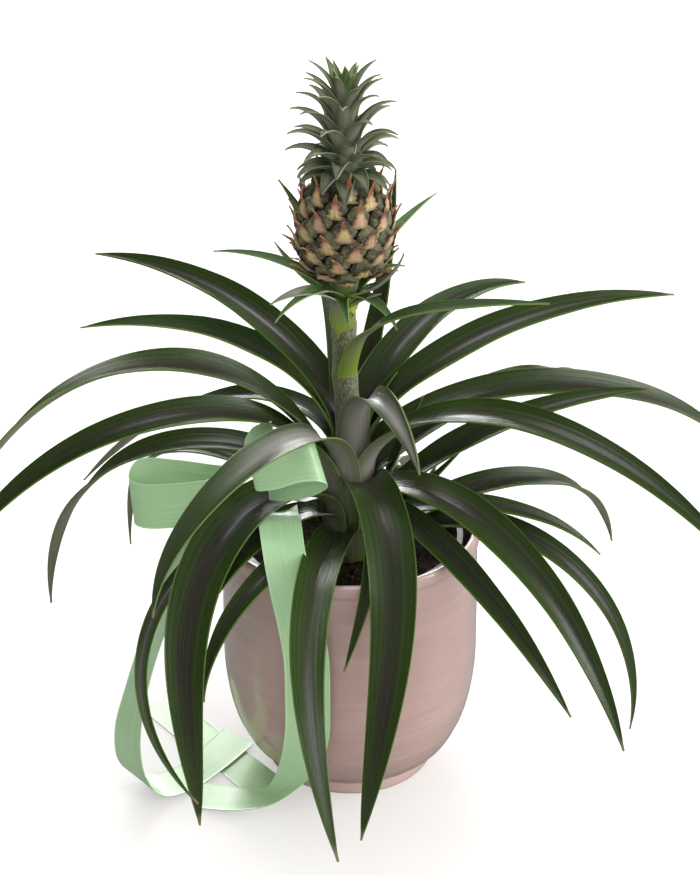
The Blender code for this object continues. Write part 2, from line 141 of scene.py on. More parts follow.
for light_name, place, size, power in (
    ("key_softbox", (1.7, -0.2, 0.8), 0.9, 17),
    ("top_softbox", (-0.15, 0.25, 1.5), 0.7, 9),
    ("back_softbox", (-0.3, 1.9, 0.7), 1.0, 44),
):
    aim = Vector(LIGHTS_AIM) - Vector(place)
    bpy.ops.object.light_add(type="AREA", location=place, rotation=aim.to_track_quat("-Z", "Y").to_euler())
    softbox = bpy.context.object
    softbox.name = light_name
    softbox.data.size = size
    softbox.data.energy = power

# Outer pot: thrown and glazed, a full round belly over a narrower foot, with a soft rolled lip.
# The dusty-pink glaze is thin over the edges and shows the faint rings of the throwing.
POT_OUTLINE = (
    (38, 1.6), (43.5, 1.6), (45, 0.4), (46, 0), (48, 0), (49.2, 0.8), (50, 3.5), (50.4, 8),
    (50.2, 11), (50.0, 13), (52.5, 14.6), (57, 16), (61, 18.5), (66, 28.5), (70, 40), (73, 57),
    (74.2, 75), (74, 105), (73.6, 130), (73.3, 146.5), (73.6, 149), (74.6, 150.2), (75, 152.5),
    (74.8, 155), (74, 156.5), (72.6, 157), (71.2, 156.4), (70.5, 154), (69.6, 130), (69.6, 70),
    (66, 34), (57, 14), (44, 7), (20, 6),
)
POT_SEGMENTS = 128
POT_STEPS = 3
THROWING_RINGS = 26
RING_DEPTH = 0.09
RINGS_LOW, RINGS_HIGH, RINGS_SPAN = 20, 148, 157
OUTER_POINTS = 22


def curve_point(stations, share):
    """A point on the smooth curve through the stations, for a share from 0 to 1 of its stretches."""
    spot = share * (len(stations) - 1)
    index = min(int(spot), len(stations) - 2)
    local = spot - index
    before = stations[max(index - 1, 0)]
    first, second = stations[index], stations[index + 1]
    after = stations[min(index + 2, len(stations) - 1)]
    return (
        first
        + 0.5 * local * (second - before)
        + local**2 * (before - 2.5 * first + 2 * second - 0.5 * after)
        + local**3 * (1.5 * (first - second) + 0.5 * (after - before))
    )


def throw(name, outline, segments):
    """A turned closed piece: rings drawn up from the middle of its underside, along its outline."""
    bpy.ops.object.select_all(action="DESELECT")
    radius, height = outline[0]
    bpy.ops.mesh.primitive_circle_add(vertices=segments, radius=radius, fill_type="NGON")
    piece = bpy.context.object
    piece.name = name
    bpy.ops.object.mode_set(mode="EDIT")
    bpy.ops.mesh.select_all(action="SELECT")
    bpy.ops.transform.translate(value=(0, 0, height))
    for next_radius, next_height in outline[1:]:
        bpy.ops.mesh.extrude_region_move(TRANSFORM_OT_translate={"value": (0, 0, next_height - height)})
        widen = next_radius / radius
        bpy.ops.transform.resize(value=(widen, widen, 1), center_override=(0, 0, next_height))
        radius, height = next_radius, next_height
    bpy.ops.mesh.select_all(action="SELECT")
    bpy.ops.mesh.normals_make_consistent(inside=False)
    bpy.ops.object.mode_set(mode="OBJECT")
    bpy.ops.object.shade_smooth_by_angle(angle=math.radians(40))
    return piece


def own_place(tree):
    """Each point's place on its own piece, for a pattern that keeps to the piece."""
    return node(tree, "ShaderNodeTexCoord").outputs["Object"]


def mottle(tree, vector, scale, detail):
    """An uneven mask over a surface, finer as its scale grows."""
    feeds = {"Vector": vector, "Scale": scale, "Detail": detail}
    return node(tree, "ShaderNodeTexNoise", feeds).outputs["Fac"]


def stretch(tree, vector, scale):
    """A pattern's place on a surface, drawn out along its axes."""
    return node(tree, "ShaderNodeMapping", {"Vector": vector, "Scale": scale}).outputs[0]


def roughen(tree, shader, strength, depth, height):
    """Makes a surface uneven to a depth, by a mask of its heights."""
    bump = node(tree, "ShaderNodeBump", {"Strength": strength, "Distance": depth, "Height": height})
    tree.links.new(bump.outputs[0], shader.inputs["Normal"])


def finish_piece(piece, replaced=()):
    """Fixes a finished piece to the object, in the place of the CAD solids that it stands for."""
    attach(piece, "root")
    if replaced:
        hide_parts(*replaced)


stations = [Vector(point) * MM for point in POT_OUTLINE]
outline = []
steps = POT_STEPS * (len(stations) - 1)
for step in range(steps + 1):
    radius, height = curve_point(stations, step / steps)
    on_outside = step < OUTER_POINTS * POT_STEPS and radius > 60 * MM
    if on_outside and RINGS_LOW * MM < height < RINGS_HIGH * MM:
        radius += RING_DEPTH * MM * math.sin(height / (RINGS_SPAN * MM) * math.tau * THROWING_RINGS)
    outline.append((radius, max(height, 0)))
pot = throw("glazed_bowl", outline, POT_SEGMENTS)

glaze, tree, shader = principled("pink_glaze", roughness=0.3, coat_weight=1.0, coat_roughness=0.05)
place = own_place(tree)
height = node(tree, "ShaderNodeSeparateXYZ", {0: place}).outputs["Z"]
bands = mottle(tree, stretch(tree, place, (1, 1, 7)), 14, 3)
cloud = mottle(tree, place, 22, 4)
speck = mottle(tree, place, 900, 1)
colour = blend_colours(tree, ease(tree, bands, 0.3, 0.7), (0.455, 0.31, 0.275, 1), (0.505, 0.35, 0.31, 1))
colour = blend_colours(tree, ease(tree, cloud, 0.45, 0.8, 0, 0.35), colour, (0.55, 0.405, 0.36, 1))
colour = blend_colours(tree, ease(tree, speck, 0.68, 0.74, 0, 0.35), colour, (0.30, 0.20, 0.17, 1))
colour = blend_colours(tree, ease(tree, height, 0.016, 0.010), colour, (0.66, 0.49, 0.42, 1))
colour = blend_colours(tree, ease(tree, height, 0.1555, 0.157, 0, 0.5), colour, (0.66, 0.52, 0.47, 1))
paint(tree, shader, colour)
rings = math_node(tree, "SINE", math_node(tree, "MULTIPLY", height, 1150.0))
ripple = math_node(tree, "ADD", math_node(tree, "MULTIPLY", rings, 0.25), bands)
roughen(tree, shader, 0.25, 0.0008, ripple)
pot.data.materials.append(glaze)
finish_piece(pot, ["glazed_pot"])

# Nursery pot: the thin black plastic pot that the plant was grown in, standing loose in the outer pot.
# It is vacuum-formed, with a turned-down rim and six drain holes round its floor.
NURSERY_OUTLINE = (
    (20, 6.3), (40, 6.3), (44, 7.4), (47, 10.3), (49.5, 30), (58.5, 110), (62.7, 147.3),
    (64.1, 147.2), (64.2, 142.3), (65.4, 142.3), (65.6, 148.6), (64.9, 149.3), (61.6, 149.3),
    (61.1, 147.9), (57.1, 110), (48.1, 30), (45.6, 12.7), (41, 7.7), (20, 7.7),
)
NURSERY_SEGMENTS = 96
DRAIN_HOLES = 6
DRAIN_REACH, DRAIN_RADIUS, DRAIN_DEPTH = 28, 4, 6
DRAIN_HEIGHT = 7

outline = [(radius * MM, height * MM) for radius, height in NURSERY_OUTLINE]
nursery = throw("grower_pot", outline, NURSERY_SEGMENTS)
for index in range(DRAIN_HOLES):
    turn = index * math.tau / DRAIN_HOLES
    bpy.ops.object.select_all(action="DESELECT")
    spot = Vector((DRAIN_REACH * math.cos(turn), DRAIN_REACH * math.sin(turn), DRAIN_HEIGHT)) * MM
    bpy.ops.mesh.primitive_cylinder_add(
        vertices=24, radius=DRAIN_RADIUS * MM, depth=DRAIN_DEPTH * MM, location=spot,
    )
    drill = bpy.context.object
    cut = nursery.modifiers.new("Drain hole", "BOOLEAN")
    cut.operation = "DIFFERENCE"
    cut.object = drill
    bpy.context.view_layer.objects.active = nursery
    bpy.ops.object.modifier_apply(modifier=cut.name)
    bpy.data.objects.remove(drill, do_unlink=True)

black_plastic, tree, shader = principled("black_plastic")
place = own_place(tree)
dust = mottle(tree, place, 60, 5)
tree.links.new(ease(tree, dust, 0.3, 0.7, 0.25, 0.5), shader.inputs["Roughness"])
dusty = ease(tree, dust, 0.55, 0.75, 0, 0.5)
soiled = blend_colours(tree, dusty, (0.012, 0.012, 0.013, 1), (0.06, 0.045, 0.03, 1))
paint(tree, shader, soiled)
nursery.data.materials.append(black_plastic)
finish_piece(nursery, ["nursery_pot"])

# Soil: dark peat mix round the root ball, crumbly on top, with bark chips lying on it.
# It fills the nursery pot to a finger's width under the rim.
ROOT_BALL_OUTLINE = ((20, 8.2), (41, 8.2), (45, 14), (59, 132), (59.6, 136))
SOIL_TOP = 138.6
SOIL_SEGMENTS = 120
CRUMBLY_FROM = 135
COARSE_CRUMBS, FINE_CRUMBS, SETTLED = 1.3, 0.9, 0.4
CHIPS = 150
CHIPS_FROM, CHIPS_TO = 20, 57
CHIP_SMALL, CHIP_BIG = 0.8, 2.4

outline = [(radius * MM, height * MM) for radius, height in ROOT_BALL_OUTLINE]
for radius in range(59, 14, -2):
    outline.append((radius * MM, SOIL_TOP * MM))
soil = throw("potting_soil", outline, SOIL_SEGMENTS)
for vert in soil.data.vertices:
    if vert.co.z > CRUMBLY_FROM * MM:
        coarse = COARSE_CRUMBS * noise.noise(vert.co * 160)
        fine = FINE_CRUMBS * noise.noise(vert.co * 520)
        vert.co.z += (coarse + fine - SETTLED) * MM
random.seed(4)
chips = []
for index in range(CHIPS):
    turn = random.uniform(0, math.tau)
    reach = random.uniform(CHIPS_FROM, CHIPS_TO) * MM
    bpy.ops.object.select_all(action="DESELECT")
    bpy.ops.mesh.primitive_ico_sphere_add(
        subdivisions=1,
        radius=random.uniform(CHIP_SMALL, CHIP_BIG) * MM,
        location=(reach * math.cos(turn), reach * math.sin(turn), SOIL_TOP * MM),
        rotation=(random.uniform(0, 3), random.uniform(0, 3), turn),
    )
    chip = bpy.context.object
    chip.scale = (random.uniform(0.8, 2.0), random.uniform(0.6, 1.0), random.uniform(0.35, 0.7))
    chips.append(chip)
bpy.ops.object.select_all(action="DESELECT")
for chip in chips:
    chip.select_set(True)
bpy.context.view_layer.objects.active = chips[0]
bpy.ops.object.transform_apply(location=True, rotation=True, scale=True)
bpy.ops.object.join()
bark = bpy.context.object
bark.name = "bark_chips"

for piece, lump, dark, pale in (
    (soil, "peat", (0.012, 0.008, 0.005, 1), (0.05, 0.034, 0.022, 1)),
    (bark, "bark", (0.03, 0.018, 0.01, 1), (0.14, 0.09, 0.055, 1)),
):
    earth, tree, shader = principled(lump, roughness=0.95, specular_ior_level=0.2)
    place = own_place(tree)
    crumb = mottle(tree, place, 420, 6)
    shade = blend_colours(tree, ease(tree, crumb, 0.35, 0.72), dark, pale)
    paint(tree, shader, shade)
    roughen(tree, shader, 0.9, 0.001, crumb)
    piece.data.materials.append(earth)
finish_piece(soil, ["soil"])
finish_piece(bark)

# Stem: stout among the leaf bases, then the slender fruit stalk with its grey-brown felt.
# The stalk swells a little at each joint where a bract was carried.
STEM_OUTLINE = (
    (6, 108), (12, 109), (13.5, 140), (14, 150), (12.5, 182), (10, 203), (8.3, 214), (7.4, 228), (7.0, 240),
    (7.3, 251), (6.6, 255), (6.7, 270), (7.2, 281), (6.5, 285), (6.8, 298), (8.4, 309), (4, 310),
)
STEM_STEPS = 4
STEM_SEGMENTS = 48
STALK_FOOT = 205
STALK_LEAN = -3.2
LEAN_RISE = 55


def smooth(value):
    """A share that eases in from 0 and out to 1, with its ends held."""
    value = max(0.0, min(1.0, value))
    return value * value * (3 - 2 * value)


def lean(height):
    """How far the stalk has leant sideways at a height."""
    return STALK_LEAN * MM * smooth((height / MM - STALK_FOOT) / LEAN_RISE)


stations = [Vector(point) * MM for point in STEM_OUTLINE]
steps = STEM_STEPS * (len(stations) - 1)
outline = [tuple(curve_point(stations, step / steps)) for step in range(steps + 1)]
stem = throw("plant_stem", outline, STEM_SEGMENTS)
for vert in stem.data.vertices:
    if vert.co.z > STALK_FOOT * MM:
        turn = math.atan2(vert.co.y, vert.co.x)
        ridge = 0.25 * math.sin(5 * turn + 60 * vert.co.z) + 0.5 * noise.noise(vert.co * 120)
        grow = 1 + 0.045 * ridge
        vert.co.x = vert.co.x * grow + lean(vert.co.z)
        vert.co.y *= grow

stalk_felt, tree, shader = principled("stalk_felt", roughness=0.75, sheen_weight=0.25, sheen_roughness=0.6)
place = own_place(tree)
height = node(tree, "ShaderNodeSeparateXYZ", {0: place}).outputs["Z"]
drawn = stretch(tree, place, (1, 1, 0.35))
felt = mottle(tree, drawn, 1300, 4)
patch = mottle(tree, drawn, 90, 3)
colour = blend_colours(tree, ease(tree, felt, 0.4, 0.62), (0.075, 0.085, 0.035, 1), (0.25, 0.245, 0.15, 1))
colour = blend_colours(tree, ease(tree, patch, 0.42, 0.7, 0, 0.7), colour, (0.11, 0.15, 0.045, 1))
colour = blend_colours(tree, ease(tree, height, 0.288, 0.302, 0, 0.85), colour, (0.16, 0.27, 0.05, 1))
colour = blend_colours(tree, ease(tree, height, 0.236, 0.215, 0, 0.9), colour, (0.05, 0.095, 0.02, 1))
paint(tree, shader, colour)
roughen(tree, shader, 0.6, 0.0006, felt)
stem.data.materials.append(stalk_felt)
finish_piece(stem, ["stem"])

# Leaves: long waxy straps that clasp the stem, arch over the rim and run out to dry points. Each is a
# shallow channel, dark green with a purple-grey middle, silvery beneath, thin and pale at its edges.
STEM_PROFILE = (
    (108, 13), (140, 16), (150, 19), (185, 17), (205, 11), (215, 8), (240, 7), (290, 6.5), (304, 8.5),
)
LEAF_SEAT = 1.15
LEAF_THICKNESS = 0.95
LEAF_FULLNESS = 1.06
LEAF_TIP_WIDTH = 0.9
PATH_STEPS = 60
SHEATH_STEPS = 8
SHEATH_SLOPE = 86
SHEATH_TURN = 2.5
LEAF_SHEATH = 24
LEAF_ROWS = 64
LEAF_COLUMNS = 12
LEAF_LEAN = 25
BROAD_FROM = 12
BROAD_FOOT = 1.05
MOST_CLASP = 2.4
YOUNG_FOOT = 0.45

# name: (bearing, height on the stem, rise, fall, bend, length, sweep, width), in degrees and mm
LEAVES = {
    "leaf_01": (350, 161, 30, -50, 0.9, 140, 25, 13),
    "leaf_02": (5, 170, 45, 0, 1, 170, 0, 18),
    "leaf_03": (11, 151, 45, 45, 1, 65, 2, 6),
    "leaf_04": (18, 210, 78, -8, 0.45, 206, 0, 22),
    "leaf_05": (10, 147, 33, -76, 1.25, 190, 31, 17),
    "leaf_06": (12, 200, 60, -55, 0.5, 320, 25, 22),
    "leaf_07": (54, 215, 59, -14, 0.9, 150, -23, 22),
    "leaf_08": (20, 190, 35, -45, 1.4, 175, 30, 18),
    "leaf_09": (80, 195, 55, 90, 0.8, 165, -70, 13),
    "leaf_10": (25, 142, 35, 20, 0.8, 60, 45, 8),
    "leaf_11": (70, 160, 30, -85, 0.7, 180, 5, 20),
    "leaf_12": (93, 158, 30, -85, 0.7, 190, 0, 22),
    "leaf_13": (115, 160, 30, -85, 0.7, 185, 5, 18),
    "leaf_14": (103, 178, 88, 46, 2.0, 179, 50, 16),
    "leaf_15": (132, 217, 82, -8, 0.35, 207, 16, 22),
    "leaf_16": (170, 160, 55, -95, 0.9, 205, -55, 12),
    "leaf_17": (132, 207, 64, -50, 0.3, 226, 31, 15),
    "leaf_18": (131, 214, 88, -15, 0.25, 193, 34, 20),
    "leaf_19": (173, 176, 60, -91, 0.7, 245, -9, 17),
    "leaf_20": (193, 195, 68, -62, 1.05, 280, 33, 22),
    "leaf_21": (215, 190, 80, -65, 0.7, 280, -30, 21),
    "leaf_22": (250, 195, 80, -85, 0.8, 205, -55, 20),
    "leaf_23": (224, 169, 39, -88, 0.66, 167, -14, 17),
    "leaf_24": (240, 143, 49, -90, 0.93, 150, -29, 15),
    "leaf_25": (202, 177, 43, -84, 0.5, 237, 107, 30),
    "leaf_26": (185, 174, -5, -23, 0.25, 251, 134, 10),
    "leaf_27": (290, 185, 25, -60, 0.4, 115, -60, 10),
    "leaf_28": (295, 190, 40, -75, 0.3, 215, -65, 27),
    "leaf_29": (255, 160, 35, -20, 0.3, 260, 30, 22),
    "leaf_30": (284, 206, 90, -70, 1.2, 121, 19, 20),
    "leaf_31": (318, 175, 25, -50, 0.35, 168, 4, 18),
    "leaf_32": (330, 180, 80, -65, 0.3, 220, -15, 24),
    "leaf_33": (285, 255, 65, -5, 0.9, 155, 80, 11),
    "leaf_34": (328, 198, 83, -29, 0.45, 270, -16, 22),
    "leaf_35": (358, 143, 44, -96, 0.75, 235, -23, 17),
    "leaf_36": (354, 178, 70, 70, 1, 65, 0, 10),
}
LEAF_FOLD = 24
FOLDS = {
    "leaf_18": 38, "leaf_15": 30, "leaf_30": 30, "leaf_04": 28, "leaf_25": 20, "leaf_28": 14, "leaf_29": 18,
}
# How far a leaf's outer part rolls over, and the share of its length where the roll starts
ROLLS = {
    "leaf_20": (75, 0.35), "leaf_19": (80, 0.4), "leaf_16": (70, 0.45), "leaf_17": (70, 0.3),
    "leaf_08": (-70, 0.55), "leaf_05": (-45, 0.5), "leaf_30": (40, 0.4), "leaf_22": (-15, 0.3),
}
YOUNG = ("leaf_33", "leaf_18")
# Leaves with a painted sheen reflection on their faces: a pale grey band over the face, and the share of
# their length where it has faded out
PAINTED_SHEEN_LEAVES = {"leaf_30": 1.25, "leaf_22": 0.72}


def stem_radius(height):
    """The stem's radius at a height, both in mm."""
    for (low, narrow), (high, wide) in zip(STEM_PROFILE, STEM_PROFILE[1:]):
        if height <= high:
            return narrow + (wide - narrow) * (height - low) / (high - low)
    return STEM_PROFILE[-1][1]


def stem_seat(bearing, height, gap):
    """The stem's radius at a height in mm, and the place a gap off it at a bearing in degrees."""
    root = stem_radius(height)
    reach = (root + gap) * MM
    angle = math.radians(bearing)
    return root, (reach * math.cos(angle) + lean(height * MM), reach * math.sin(angle), height * MM)


def blade_course(start, bearing, rise, fall, bend, length, sweep, sheath):
    """Steps along a blade's middle: place, slope, heading, and share from -1 at its sheath's foot to 1."""
    heading = math.radians(bearing)
    point = Vector(start)
    course = [(point.copy(), math.radians(rise), heading, 0.0)]
    for index in range(SHEATH_STEPS):
        slope = math.radians(rise + (SHEATH_SLOPE - rise) * smooth((index + 0.5) / SHEATH_TURN))
        level = math.cos(slope)
        way = Vector((level * math.cos(heading), level * math.sin(heading), math.sin(slope)))
        point -= sheath / SHEATH_STEPS * way
        course.insert(0, (point.copy(), slope, heading, -(index + 1) / SHEATH_STEPS))
    point = Vector(start)
    for index in range(PATH_STEPS):
        middle = (index + 0.5) / PATH_STEPS
        slope = math.radians(rise + (fall - rise) * middle**bend)
        heading = math.radians(bearing + sweep * middle)
        level = math.cos(slope)
        way = Vector((level * math.cos(heading), level * math.sin(heading), math.sin(slope)))
        point += length / PATH_STEPS * way
        along = (index + 1) / PATH_STEPS
        slope = math.radians(rise + (fall - rise) * along**bend)
        course.append((point.copy(), slope, math.radians(bearing + sweep * along), along))
    return course


def thicken(sheet, thickness, back_finish=0):
    """Gives a sheet its thickness, half to each side of it."""
    shell = sheet.modifiers.new("Thickness", "SOLIDIFY")
    shell.thickness = thickness
    shell.offset = 0
    shell.material_offset = back_finish
    bpy.ops.object.modifier_apply(modifier=shell.name)


def grow_blade(name, course, breadth, section, rows, columns, thickness, finishes):
    """A blade with its channel: a grid laid along its course, bent across by its section, and thickened."""
    bpy.ops.object.select_all(action="DESELECT")
    bpy.ops.mesh.primitive_grid_add(x_subdivisions=rows, y_subdivisions=columns, size=2, calc_uvs=True)
    blade = bpy.context.object
    blade.name = name
    for vert in blade.data.vertices:
        side = vert.co.y
        spot = (vert.co.x + 1) / 2 * (len(course) - 1)
        index = min(int(spot), len(course) - 2)
        local = spot - index
        first, second = course[index], course[index + 1]
        centre = first[0].lerp(second[0], local)
        slope, heading, along = (first[item] + (second[item] - first[item]) * local for item in (1, 2, 3))
        ahead = Vector((math.cos(heading), math.sin(heading), 0))
        across = Vector((-ahead.y, ahead.x, 0))
        upward = Vector((0, 0, math.cos(slope))) - math.sin(slope) * ahead
        half = breadth(along) / 2
        reach, lift, roll = section(along, side, heading)
        turned_across = math.cos(roll) * across + math.sin(roll) * upward
        turned_upward = math.cos(roll) * upward - math.sin(roll) * across
        vert.co = centre + half * (reach * turned_across + lift * turned_upward)
    for finish in finishes:
        blade.data.materials.append(finish)
    thicken(blade, thickness, 1)
    bpy.ops.object.shade_smooth_by_angle(angle=math.radians(60))
    return blade


def open_out(along, side, hug, free_reach, free_lift):
    """How far a blade's side reaches and lifts, from wrapped by an angle at its foot to its free channel."""
    share = smooth(along / 0.3)
    curl = side * hug
    reach, lift = math.sin(curl) / hug, (1 - math.cos(curl)) / hug
    return reach + (free_reach - reach) * share, lift + (free_lift - lift) * share


def tip_over(along, heading):
    """How far a blade has rolled to show its face to the front, in radians."""
    return math.radians(LEAF_LEAN) * math.cos(heading) * smooth(along / 0.4)


def off_middle(tree, across):
    """How far a point lies off its piece's middle line, up to 1 at the edge."""
    offset = math_node(tree, "SUBTRACT", across, 0.5)
    return math_node(tree, "MULTIPLY", math_node(tree, "ABSOLUTE", offset), 2.0)


def blade_pattern():
    """The veins, median band, pale margin and dry tip that every blade's colour is made of."""
    group = bpy.data.node_groups.new("blade_pattern", "ShaderNodeTree")
    for name, kind, value in (
        ("Margin", "NodeSocketColor", (0.03, 0.055, 0.017, 1)),
        ("Band", "NodeSocketColor", (0.075, 0.065, 0.07, 1)),
        ("Edge", "NodeSocketColor", (0.26, 0.33, 0.15, 1)),
        ("Base", "NodeSocketColor", (0.15, 0.22, 0.05, 1)),
        ("Base length", "NodeSocketFloat", 0.1),
        ("Vein contrast", "NodeSocketFloat", 0.5),
        ("Band width", "NodeSocketFloat", 0.6),
        ("Band end", "NodeSocketFloat", 0.97),
    ):
        socket = group.interface.new_socket(name, in_out="INPUT", socket_type=kind)
        socket.default_value = value
    group.interface.new_socket("Colour", in_out="OUTPUT", socket_type="NodeSocketColor")
    for name in ("Veins", "Gloss"):
        group.interface.new_socket(name, in_out="OUTPUT", socket_type="NodeSocketFloat")
    given = group.nodes.new("NodeGroupInput").outputs
    spread = node(group, "ShaderNodeUVMap", uv_map="UVMap").outputs[0]
    axes = node(group, "ShaderNodeSeparateXYZ", {0: spread})
    along, across = axes.outputs["X"], axes.outputs["Y"]
    away = off_middle(group, across)
    fine_lines = stretch(group, spread, (1.1, 60, 1))
    veins = mottle(group, fine_lines, 1, 4)
    broad_lines = stretch(group, spread, (0.8, 11, 1))
    streaks = mottle(group, broad_lines, 1, 2)
    place = own_place(group)
    cloud = mottle(group, place, 16, 3)
    scurf = mottle(group, place, 2200, 2)
    waver = math_node(group, "MULTIPLY", math_node(group, "SUBTRACT", streaks, 0.5), 0.55)
    span = ease(group, math_node(group, "ADD", away, waver), given["Band width"], 0.15)
    fade_start = math_node(group, "SUBTRACT", given["Band end"], 0.3)
    fade = ease(group, along, given["Band end"], fade_start)
    band_share = math_node(group, "MULTIPLY", math_node(group, "MULTIPLY", span, fade),
                           ease(group, cloud, 0.3, 0.62, 0.45, 1.0))
    colour = blend_colours(group, band_share, given["Margin"], given["Band"])
    lines = math_node(group, "MULTIPLY", ease(group, veins, 0.52, 0.68), given["Vein contrast"])
    light_line = blend_colours(group, 0.45, given["Band"], given["Edge"])
    colour = blend_colours(group, lines, colour, light_line)
    colour = blend_colours(group, ease(group, scurf, 0.55, 0.75, 0, 0.1), colour, (0.34, 0.33, 0.31, 1))
    colour = blend_colours(group, ease(group, away, 0.955, 0.99, 0, 0.7), colour, given["Edge"])
    foot_share = ease(group, along, given["Base length"], 0.0, 0.0, 0.9)
    colour = blend_colours(group, foot_share, colour, given["Base"])
    colour = blend_colours(group, ease(group, along, 0.965, 0.995, 0, 0.9), colour, (0.23, 0.16, 0.075, 1))
    fine_gloss = ease(group, veins, 0.35, 0.65, -0.05, 0.09)
    broad_gloss = ease(group, streaks, 0.3, 0.7, -0.06, 0.1)
    out = group.nodes.new("NodeGroupOutput").inputs
    group.links.new(colour, out["Colour"])
    group.links.new(math_node(group, "ADD", veins, math_node(group, "MULTIPLY", streaks, 1.4)), out["Veins"])
    group.links.new(math_node(group, "ADD", fine_gloss, broad_gloss), out["Gloss"])
    return group


def blade_finish(name, roughness, bump_depth, values):
    """A living blade surface: the blade pattern with its own colours under a waxy skin."""
    finish, tree, shader = principled(name)
    pattern = node(tree, "ShaderNodeGroup", node_tree=pattern_group)
    for key, value in values.items():
        pattern.inputs[key].default_value = value
    paint(tree, shader, pattern.outputs["Colour"])
    tree.links.new(math_node(tree, "ADD", pattern.outputs["Gloss"], roughness), shader.inputs["Roughness"])
    roughen(tree, shader, 0.5, bump_depth, pattern.outputs["Veins"])
    return finish


pattern_group = blade_pattern()
leaf_face = blade_finish("leaf_face", 0.27, 0.00025, {
    "Margin": (0.020, 0.043, 0.003, 1), "Band": (0.024, 0.022, 0.015, 1), "Edge": (0.10, 0.165, 0.03, 1),
    "Vein contrast": 0.35, "Band width": 0.7,
})
leaf_back = blade_finish("leaf_back", 0.5, 0.0008, {
    "Margin": (0.13, 0.145, 0.075, 1), "Band": (0.27, 0.255, 0.235, 1), "Edge": (0.3, 0.34, 0.2, 1),
    "Vein contrast": 0.55, "Band width": 0.95,
})
young_face = blade_finish("young_leaf_face", 0.38, 0.0008, {
    "Margin": (0.028, 0.075, 0.009, 1), "Band": (0.05, 0.06, 0.03, 1), "Edge": (0.20, 0.30, 0.06, 1),
    "Base": (0.24, 0.40, 0.01, 1), "Base length": 0.42, "Vein contrast": 0.4, "Band width": 0.6,
})
young_back = blade_finish("young_leaf_back", 0.5, 0.0008, {
    "Margin": (0.12, 0.17, 0.06, 1), "Band": (0.22, 0.23, 0.17, 1), "Edge": (0.28, 0.36, 0.12, 1),
    "Base": (0.28, 0.42, 0.02, 1), "Base length": 0.42, "Vein contrast": 0.6, "Band width": 0.8,
})

for number, (leaf_name, values) in enumerate(LEAVES.items()):
    bearing, height, rise, fall, bend, length, sweep, width = values
    root, start = stem_seat(bearing, height, LEAF_SEAT)
    course = blade_course(start, bearing, rise, fall, bend, length * MM, sweep, LEAF_SHEATH * MM)
    fold = math.radians(FOLDS.get(leaf_name, LEAF_FOLD))
    roll_most, roll_start = ROLLS.get(leaf_name, (0, 0.5))
    base_share = BROAD_FOOT if width > BROAD_FROM else 1.0
    clasp = min(base_share * width / (root + 1), MOST_CLASP)

    def leaf_breadth(along):
        foot = math.sqrt(max(1 - (min(along, 0) / YOUNG_FOOT) ** 2, 0)) if leaf_name in YOUNG else 1
        along = max(along, 0)
        taper = foot * (1 - along**2.3) ** 0.88
        share = base_share + (1 - base_share) * smooth(along / 0.28)
        return max(width * LEAF_FULLNESS * share * taper, LEAF_TIP_WIDTH) * MM

    def leaf_section(along, side, heading):
        wave = 0.035 * math.sin(along * 19 + number * 1.7) * abs(side) ** 3
        free_lift = math.sin(fold) * abs(side) ** 1.5 + wave
        reach, lift = open_out(along, side, clasp / 2, side * math.cos(fold * 0.85), free_lift)
        roll = math.radians(roll_most) * smooth((along - roll_start) / (0.95 - roll_start))
        return reach, lift, roll + tip_over(along, heading)

    faces = (young_face, young_back) if leaf_name in YOUNG else (leaf_face, leaf_back)
    # These faces get a pale grey band painted over them. It is a painted sheen reflection, not a colour of
    # the leaf.
    if leaf_name in PAINTED_SHEEN_LEAVES:
        faces = (blade_finish("painted_sheen_leaf_face", 0.33, 0.0003, {
            "Margin": (0.03, 0.055, 0.012, 1), "Band": (0.27, 0.25, 0.245, 1), "Edge": (0.17, 0.24, 0.08, 1),
            "Vein contrast": 0.2, "Band width": 1.0, "Band end": PAINTED_SHEEN_LEAVES[leaf_name],
        }), leaf_back)
    blade = grow_blade(
        leaf_name.replace("leaf", "strap_leaf"), course, leaf_breadth,
        leaf_section, LEAF_ROWS, LEAF_COLUMNS, LEAF_THICKNESS * MM, faces,
    )
    finish_piece(blade, [leaf_name])

# Stalk bracts: short leaves under the fruit, softer and paler than the straps, each clasping the stalk.
# They are made as the leaves are, with a yellow-green foot.
BRACTS = {
    "bract_01": (243, 284, 84, -30, 1, 59, -48, 14),
    "bract_02": (165, 300, 50, -10, 0.6, 70, -5, 8),
    "bract_03": (240, 300, 50, -55, 1, 50, -38, 8),
    "bract_04": (145, 297, 10, 45, 1, 45, -5, 7),
    "bract_05": (50, 300, 55, 10, 0.5, 80, 0, 9),
    "bract_06": (20, 300, 60, -15, 1, 30, -5, 7),
    "bract_07": (265, 298, 35, -45, 1, 30, 25, 8),
    "bract_08": (323, 300, 30, 75, 1.6, 45, 5, 10),
    "bract_09": (318, 295, 40, 25, 1, 20, 10, 6),
}
BRACT_FOLD = 26
BRACT_SHEATH = 9
BRACT_FOOT = 0.7
BRACT_THICKNESS = 0.8
BRACT_TIP_WIDTH = 0.7
PALE_BRACTS = ("bract_01", "bract_08", "bract_09")

